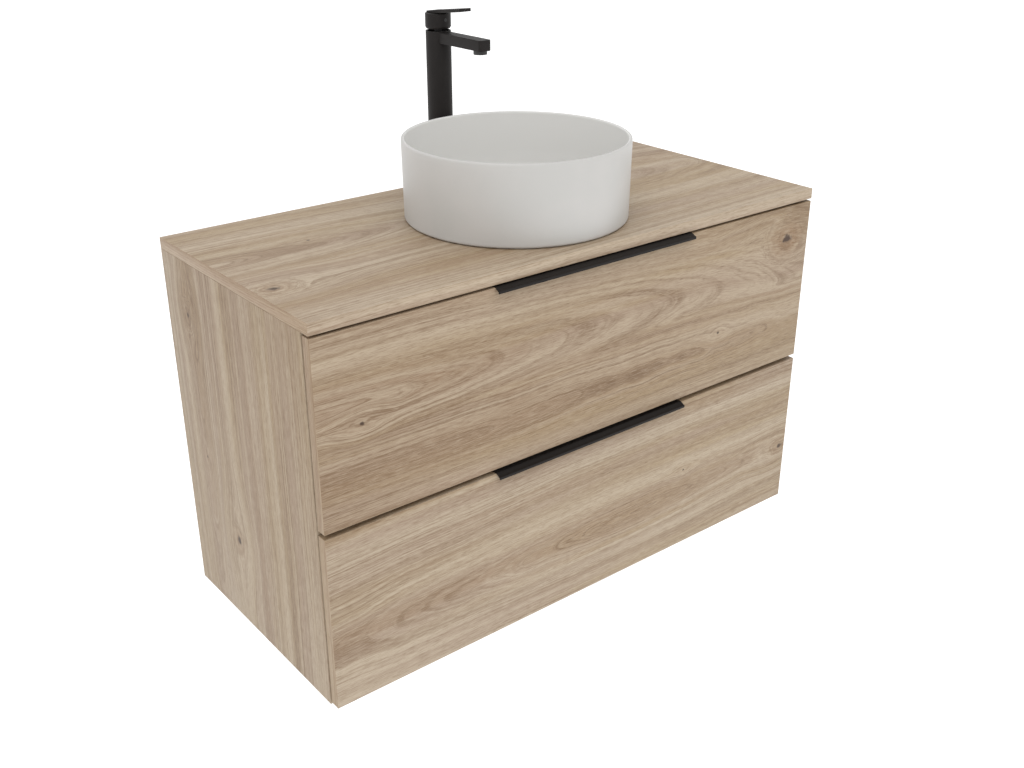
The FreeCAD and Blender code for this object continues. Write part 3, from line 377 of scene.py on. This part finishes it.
def powder_coat(name, shade, roughness=0.42, gloss=0.45):
    """Matt powder coating: an even colour with an orange-peel skin and faint rubbed patches."""
    mat = Material(name)
    x, y, z = mat.place()
    peel = mat.noise([x * 1600.0, y * 1600.0, z * 1600.0], 2.0)
    rub = mat.noise([x * 35.0, y * 35.0, z * 35.0], 3.0)
    colour = mat.blend(rub.ramp(0.35, 0.75), linear(*shade), linear(*[value + 4 for value in shade]))
    return mat.surface(Base_Color=colour, Roughness=roughness + (rub - 0.5) * 0.1,
                       Normal=mat.bump(peel, 0.00006, 0.5), Specular_IOR_Level=gloss)


def plated_steel():
    """Zinc-plated steel: fine drawn lines and cloudy plating."""
    mat = Material("zinc_steel")
    x, y, z = mat.place()
    drawn = mat.noise([x * 900.0, y * 12.0, z * 900.0], 2.0)
    cloud = mat.noise([x * 60.0, y * 60.0, z * 60.0], 3.0)
    colour = mat.blend(cloud.ramp(0.3, 0.7), linear(176, 178, 181), linear(198, 199, 200))
    return mat.surface(Base_Color=colour, Metallic=1.0, Roughness=0.34 + (drawn - 0.5) * 0.16,
                       Normal=mat.bump(drawn, 0.00004, 0.4))


def melamine():
    """Grey melamine-faced board with a linen-like print and a fine hammered texture."""
    mat = Material("melamine_board")
    x, y, z = mat.place()
    weave = mat.noise([x * 260.0, y * 1400.0, z * 260.0], 2.0)
    cross = mat.noise([x * 1400.0, y * 260.0, z * 1400.0], 2.0)
    cloud = mat.noise([x * 9.0, y * 9.0, z * 9.0], 3.0)
    threads = (weave + cross) * 0.5
    colour = mat.blend(threads.ramp(0.35, 0.65), linear(150, 143, 134), linear(172, 166, 157))
    colour = mat.blend(cloud * 0.25, colour, linear(160, 155, 148))
    return mat.surface(Base_Color=colour, Roughness=0.55 + (threads - 0.5) * 0.1,
                       Normal=mat.bump(threads, 0.00006, 0.5))


def moulded(name, shade, roughness):
    """Moulded plastic or rubber: an even shade with a faint spark-eroded texture."""
    mat = Material(name)
    x, y, z = mat.place()
    spark = mat.noise([x * 1300.0, y * 1300.0, z * 1300.0], 2.0)
    flow = mat.noise([x * 30.0, y * 30.0, z * 30.0], 2.0)
    colour = mat.blend(flow.ramp(0.3, 0.7), linear(*shade), linear(*[value * 0.94 for value in shade]))
    return mat.surface(Base_Color=colour, Roughness=roughness + (flow - 0.5) * 0.08,
                       Normal=mat.bump(spark, 0.00005, 0.4))


def beech():
    """Beech dowels: straight pale grain with short dark flecks."""
    mat = Material("beech_dowel")
    x, y, z = mat.place()
    grain = mat.noise([x * 20.0, y * 700.0, z * 700.0], 2.0)
    fleck = mat.noise([x * 150.0, y * 1200.0, z * 1200.0], 1.0).ramp(0.6, 0.7)
    colour = mat.blend(grain.ramp(0.3, 0.7), linear(206, 170, 128), linear(188, 148, 104))
    colour = mat.blend(fleck * 0.5, colour, linear(150, 108, 70))
    return mat.surface(Base_Color=colour, Roughness=0.6 + (grain - 0.5) * 0.1)


# ---------------------------------------------------------------- shapes

def mesh_piece(name, points, faces, material, smooth=True):
    """A new object at the origin from an array of points and a list of faces."""
    mesh = bpy.data.meshes.new(name)
    mesh.from_pydata(np.asarray(points).tolist(), [], faces)
    mesh.validate()
    mesh.polygons.foreach_set("use_smooth", [smooth] * len(mesh.polygons))
    mesh.materials.append(material)
    piece = bpy.data.objects.new(name, mesh)
    bpy.context.scene.collection.objects.link(piece)
    return piece


def grid_faces(rows, columns, wrap_rows=False, wrap_columns=False):
    """Quads between neighbouring points of a rows by columns grid, optionally closed on itself."""
    row = np.arange(rows if wrap_rows else rows - 1)
    column = np.arange(columns if wrap_columns else columns - 1)
    r, c = np.meshgrid(row, column, indexing="ij")
    next_r = (r + 1) % rows
    next_c = (c + 1) % columns
    quads = np.stack([r * columns + c, r * columns + next_c, next_r * columns + next_c,
                      next_r * columns + c], -1)
    return quads.reshape(-1, 4).tolist()


def arc(centre, radius, start, stop, steps):
    """Points on a circle from one angle to another, in degrees: centre + radius (cos, sin)."""
    angle = np.radians(np.linspace(start, stop, steps))
    return np.stack([centre[0] + radius * np.cos(angle), centre[1] + radius * np.sin(angle)], -1)


def lathe(name, profile, axis, material, segments=160):
    """A closed outline in radius and height turned about a vertical axis: (r cos a, r sin a, z)."""
    profile = np.asarray(profile)
    turn = np.linspace(0, 2 * np.pi, segments, endpoint=False)
    radius = profile[:, 0][:, None]
    points = np.stack([axis[0] + radius * np.cos(turn), axis[1] + radius * np.sin(turn),
                       axis[2] + np.repeat(profile[:, 1][:, None], segments, 1)], -1)
    faces = grid_faces(len(profile), segments, wrap_rows=True, wrap_columns=True)
    return mesh_piece(name, points.reshape(-1, 3), faces, material)


def eased_prism(name, outline, low, high, easing, material, steps=3):
    """An outline in the XY plane swept from low to high in Z, its two end rims rounded.

    Near each end the outline is drawn in along its own normals by easing (1 - cos a) while the height
    goes through easing sin a, with a from 0 to 90 degrees, and each end is one flat face.
    """
    outline = np.asarray(outline)
    ahead = np.roll(outline, -1, 0) - outline
    behind = outline - np.roll(outline, 1, 0)
    ahead /= np.linalg.norm(ahead, axis=1)[:, None]
    behind /= np.linalg.norm(behind, axis=1)[:, None]
    bisector = ahead + behind
    bisector /= np.linalg.norm(bisector, axis=1)[:, None]
    inward = np.stack([-bisector[:, 1], bisector[:, 0]], -1)
    reach = 1 / np.maximum((inward * np.stack([-ahead[:, 1], ahead[:, 0]], -1)).sum(1), 0.3)
    inward = inward * reach[:, None]
    angle = np.linspace(0, np.pi / 2, steps + 1)
    shrink = easing * (1 - np.cos(angle[::-1]))
    rise = easing * (1 - np.sin(angle[::-1]))
    inset = np.concatenate([shrink, shrink[::-1]])
    height = np.concatenate([low + rise, high - rise[::-1]])
    rows = outline[None] + inset[:, None, None] * inward[None]
    levels = np.broadcast_to(height[:, None, None], rows.shape[:2] + (1,))
    points = np.concatenate([rows, levels], -1).reshape(-1, 3)
    count = len(outline)
    faces = grid_faces(len(inset), count, wrap_columns=True)
    faces.append(list(range(count))[::-1])
    faces.append(list(range((len(inset) - 1) * count, len(inset) * count)))
    piece = mesh_piece(name, points, faces, material)
    piece.data.polygons.foreach_set("use_smooth", [len(p.vertices) == 4 for p in piece.data.polygons])
    return piece


def rounded_rectangle(low, high, radii, steps=5):
    """Corners of a rectangle, anticlockwise from the lower left, each rounded by its own radius."""
    corners = [(low[0], low[1], 180, 1, 1), (high[0], low[1], 270, -1, 1),
               (high[0], high[1], 0, -1, -1), (low[0], high[1], 90, 1, -1)]
    parts = []
    for (x, y, start, sx, sy), radius in zip(corners, radii):
        parts.append(arc((x + sx * radius, y + sy * radius), radius, start, start + 90, steps))
    return np.concatenate(parts)


def eased_board(node, material, easing=0.8 * MM):
    """A board's box with all of its edges rounded a little, in place of the CAD board."""
    low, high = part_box(node)
    outline = rounded_rectangle(low[:2], high[:2], [easing] * 4, 3)
    piece = eased_prism(node + "_eased", outline, low[2], high[2], easing, material, 2)
    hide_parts(node)
    return piece


def body_of(node):
    for name, members in frame["record"]["behaviour"]["bodies"].items():
        if node in members:
            return name


def put(piece, node):
    """A piece rides with the body of the node that it stands for."""
    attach(piece, body_of(node))


def boards():
    """Countertop, side panels and drawer fronts, each with its own run of grain."""
    grains = {
        "countertop": laminate(
            "oak_countertop", board_centre("countertop"), "x", "y", 3.0, (0.97, 0.97, 0.96),
            piths=[(0.045, -0.62, 0.11, 0.02)],
            knots=[(-0.473, -0.086, 0.016), (-0.330, 0.069, 0.006)],
            patches=[(-0.30, -0.093, 0.20, 0.007, PALE, 0.6), (-0.35, 0.111, 0.22, 0.010, BROWN, 0.5),
                     (-0.30, -0.183, 0.26, 0.010, BROWN, 0.35), (-0.33, -0.02, 0.25, 0.035, TAN, 0.6),
                     (0.38, -0.06, 0.16, 0.008, PALE, 0.5), (0.33, 0.12, 0.2, 0.03, BROWN, 0.35)]),
        "upper_drawer_front": laminate(
            # painted shade: the upper front's darker tone stands in for the light falling on it
            "oak_upper_front", board_centre("upper_drawer_front"), "x", "z", 11.0, (0.88, 0.86, 0.83),
            piths=[(0.038, -0.50, 0.10, 0.016), (-0.070, -0.40, 0.040, 0.035)],
            knots=[(0.445, 0.088, 0.020), (-0.429, 0.005, 0.007), (0.281, -0.047, 0.006)],
            patches=[(-0.160, -0.033, 0.055, 0.022, BROWN, 0.55),
                     (-0.30, 0.040, 0.16, 0.022, BROWN, 0.35),
                     (0.22, 0.093, 0.17, 0.010, TAN, 0.8), (0.0, 0.125, 0.45, 0.012, PALE, 0.45),
                     (-0.35, -0.02, 0.2, 0.012, PINK, 0.7), (0.12, -0.01, 0.3, 0.010, PINK, 0.6),
                     (0.43, 0.002, 0.12, 0.010, BROWN, 0.45), (-0.05, -0.105, 0.4, 0.03, TAN, 0.6)]),
        "lower_drawer_front": laminate(
            "oak_lower_front", board_centre("lower_drawer_front"), "x", "z", 23.0, (0.96, 0.97, 0.97),
            piths=[(-0.036, 0.115, 0.095, 0.022)],
            knots=[(0.483, -0.033, 0.012), (0.218, 0.007, 0.0055)],
            patches=[(-0.1, 0.097, 0.42, 0.008, PALE, 0.6), (0.2, 0.073, 0.25, 0.014, PINK, 0.7),
                     (0.1, -0.036, 0.28, 0.024, TAN, 0.7), (0.0, -0.080, 0.5, 0.0035, PALE, 0.75),
                     (-0.35, 0.04, 0.2, 0.012, BROWN, 0.3), (0.3, -0.125, 0.3, 0.01, BROWN, 0.35)]),
        "side_left": laminate(
            # painted shade: the left side's darker tone stands in for the light falling on that side
            "oak_left_side", board_centre("side_left"), "z", "y", 31.0, (0.84, 0.84, 0.83),
            knots=[(0.212, 0.141, 0.010), (-0.144, 0.046, 0.014), (-0.029, 0.134, 0.005)],
            piths=[(0.135, 0.30, 0.05, 0.03)],
            patches=[(0.16, 0.034, 0.16, 0.006, PALE, 0.75), (0.12, -0.106, 0.20, 0.008, PALE, 0.7),
                     (0.0, 0.147, 0.30, 0.008, PINK, 0.8), (0.0, -0.003, 0.30, 0.009, PINK, 0.8),
                     (0.10, 0.141, 0.10, 0.0022, LINE, 0.6)]),
        "side_right": laminate(
            "oak_right_side", board_centre("side_right"), "z", "y", 47.0, (0.95, 0.94, 0.92),
            piths=[(-0.05, -0.6, 0.06, 0.05)], knots=[(-0.11, -0.12, 0.0055)]),
    }
    for node, material in grains.items():
        put(eased_board(node, material), node)


def basin_bowl(material):
    """The bowl: an outside wall with a slight taper, a round rim, a coved inside and a stepped seat."""
    low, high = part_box("basin")
    axis = ((low[0] + high[0]) / 2, (low[1] + high[1]) / 2, low[2])
    height = high[2] - low[2]
    rim_radius = (high[0] - low[0]) / 2
    base_radius = rim_radius - 1.5 * MM
    rim = 6 * MM
    round_rim = rim / 2
    cove = 30 * MM
    floor = 15 * MM
    wall_inside = base_radius - 9 * MM
    seat = 32.5 * MM
    foot = 28 * MM
    foot_edge = 4 * MM
    foot_height = 5 * MM
    hole = 22.5 * MM
    seat_height = 11 * MM
    seat_edge = 0.6 * MM
    profile = np.concatenate([
        [[hole, foot_height], [base_radius - foot, foot_height], [base_radius - foot, 0]],
        arc((base_radius - foot_edge, foot_edge), foot_edge, 270, 360, 8),
        np.linspace([base_radius, 6 * MM], [rim_radius, height - round_rim], 12)[:-1],
        arc((rim_radius - round_rim, height - round_rim), round_rim, 0, 180, 12),
        np.linspace([rim_radius - rim, height - round_rim - 1 * MM],
                    [wall_inside + 1.5 * MM, floor + cove + 12 * MM], 10),
        arc((wall_inside - cove, floor + cove + 4 * MM), cove, 0, -83, 14),
        [[100 * MM, floor + 4.5 * MM], [seat + 3 * MM, floor + seat_edge], [seat, floor - seat_edge],
         [seat, seat_height], [hole, seat_height]],
    ])
    bowl = lathe("basin_bowl", profile, axis, material, 192)
    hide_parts("basin")
    put(bowl, "basin")


def tap_pieces(material):
    """The tap's column with its shank, and its spout bar, with small edge roundings."""
    low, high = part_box("tap_body")
    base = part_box("tap_base_seal")[0]
    axis_x = (low[0] + high[0]) / 2
    radius = 21 * MM
    axis = (axis_x, high[1] - radius, base[2])
    column_top = high[2] - base[2]
    soft = 0.5 * MM
    shank_radius = 15 * MM
    shank_foot = -12 * MM
    seal = 1 * MM
    mouth = (19.2 * MM, column_top - 4.5 * MM)
    thread = (17 * MM, column_top - 8.5 * MM)
    chamber = (13 * MM, column_top - 58 * MM)
    middle = 1 * MM
    column = lathe("tap_column", np.concatenate([
        [[shank_radius, shank_foot], [shank_radius, seal]],
        arc((radius - soft, seal + soft), soft, 270, 360, 4),
        arc((radius - soft, column_top - soft), soft, 0, 90, 4),
        [[mouth[0], column_top], mouth, [thread[0], mouth[1]], thread, [chamber[0], thread[1]], chamber,
         [middle, chamber[1]], [middle, shank_foot]],
    ]), axis, material, 96)
    width = 23.5 * MM
    depth = 17 * MM
    spout_top = high[2] - 1.5 * MM
    nose = 5 * MM
    root = 0.3 * MM
    outline = rounded_rectangle((axis_x - width / 2, low[1]),
                                (axis_x + width / 2, axis[1] - 17.4 * MM), [nose, nose, root, root], 8)
    spout = eased_prism("tap_spout", outline, spout_top - depth, spout_top, 0.6 * MM, material)
    for piece in (column, spout):
        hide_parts("tap_body")
        put(piece, "tap_body")


def area_light(name, place, aim, power, size):
    """A square soft light that points from its place towards a point."""
    light = bpy.data.lights.new(name, "AREA")
    light.energy = power
    light.size = size
    lamp = bpy.data.objects.new(name, light)
    lamp.location = place
    lamp.rotation_euler = (Vector(aim) - Vector(place)).to_track_quat("-Z", "Y").to_euler()
    bpy.context.scene.collection.objects.link(lamp)


def stage():
    """A plain white floor at the usual height below a wall-hung unit, soft lights and the camera."""
    white = Material("studio_floor")
    x, y, z = white.place()
    cloud = white.noise([x * 2.0, y * 2.0, z], 2.0)
    tone = white.blend(cloud * 0.5, (0.50, 0.50, 0.50, 1), (0.48, 0.48, 0.48, 1))
    material = white.surface(Base_Color=tone, Roughness=0.8, Emission_Color=(1, 1, 1, 1),
                             Emission_Strength=FLOOR_GLOW)
    floor_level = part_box("countertop")[1][2] - COUNTER_HEIGHT
    size = 30.0
    corners = [(-size, -size, floor_level), (size, -size, floor_level),
               (size, size, floor_level), (-size, size, floor_level)]
    mesh_piece("floor", corners, [[0, 1, 2, 3]], material, smooth=False)
    world = bpy.data.worlds.new("studio")
    world.use_nodes = True
    background = world.node_tree.nodes["Background"]
    background.inputs["Color"].default_value = (1.0, 1.0, 1.0, 1)
    background.inputs["Strength"].default_value = SKY
    bpy.context.scene.world = world
    middle = (0, -0.2, -0.1)
    area_light("overhead", (-0.7, -1.3, 3.0), middle, OVERHEAD_WATTS, 3.0)
    area_light("left", (-2.8, -1.2, 1.6), middle, LEFT_WATTS, 2.4)
    view = bpy.data.cameras.new("camera")
    view.lens = CAMERA_LENS
    view.sensor_width = 36.0
    camera = bpy.data.objects.new("camera", view)
    camera.location = CAMERA_PLACE
    right = Vector(CAMERA_RIGHT)
    forward = Vector(CAMERA_FORWARD).normalized()
    up = right.cross(forward).normalized()
    right = forward.cross(up)
    camera.rotation_euler = Matrix((right, up, -forward)).transposed().to_euler()
    bpy.context.scene.collection.objects.link(camera)
    bpy.context.scene.camera = camera
    bpy.context.scene.view_settings.view_transform = "Standard"


def dress_frame():
    """Give every CAD node that stays visible the material of its slot; the cartridge nut and the lever
    carrier then get black plastic as painted shade.
    """
    black = powder_coat("black_powder_coat", (31, 28, 27), 0.5, 0.16)
    looks = {
        "oak_laminate": melamine(), "drawer_board": melamine(), "dowel_wood": beech(),
        "white_ceramic": ceramic(), "black_metal": black, "brass_body": black,
        "black_aluminium": powder_coat("black_handle_coat", (25, 21, 19), 0.42, 0.18),
        "black_plastic": moulded("black_plastic", (34, 33, 33), 0.5),
        "zinc_steel": plated_steel(),
        "coated_steel": powder_coat("grey_steel_coat", (176, 177, 180), 0.45),
        "white_plastic": moulded("white_polypropylene", (226, 226, 222), 0.4),
        "rubber_seal": moulded("black_rubber", (40, 40, 40), 0.75),
        "silicone": moulded("white_silicone", (215, 214, 208), 0.4),
    }
    for entry in frame["record"]["subparts"]:
        mesh = frame["nodes"][entry["node"]].data
        mesh.materials.clear()
        mesh.materials.append(looks[entry["material_slot"]])
    # painted shade: the cartridge nut and the lever carrier, seen through the gap under the lever cap,
    # are given black plastic so that the gap reads dark
    for node in ("cartridge_nut", "lever_carrier"):
        frame["nodes"][node].data.materials[0] = looks["black_plastic"]
    return looks


looks = dress_frame()
boards()
basin_bowl(looks["white_ceramic"])
tap_pieces(looks["black_metal"])
stage()
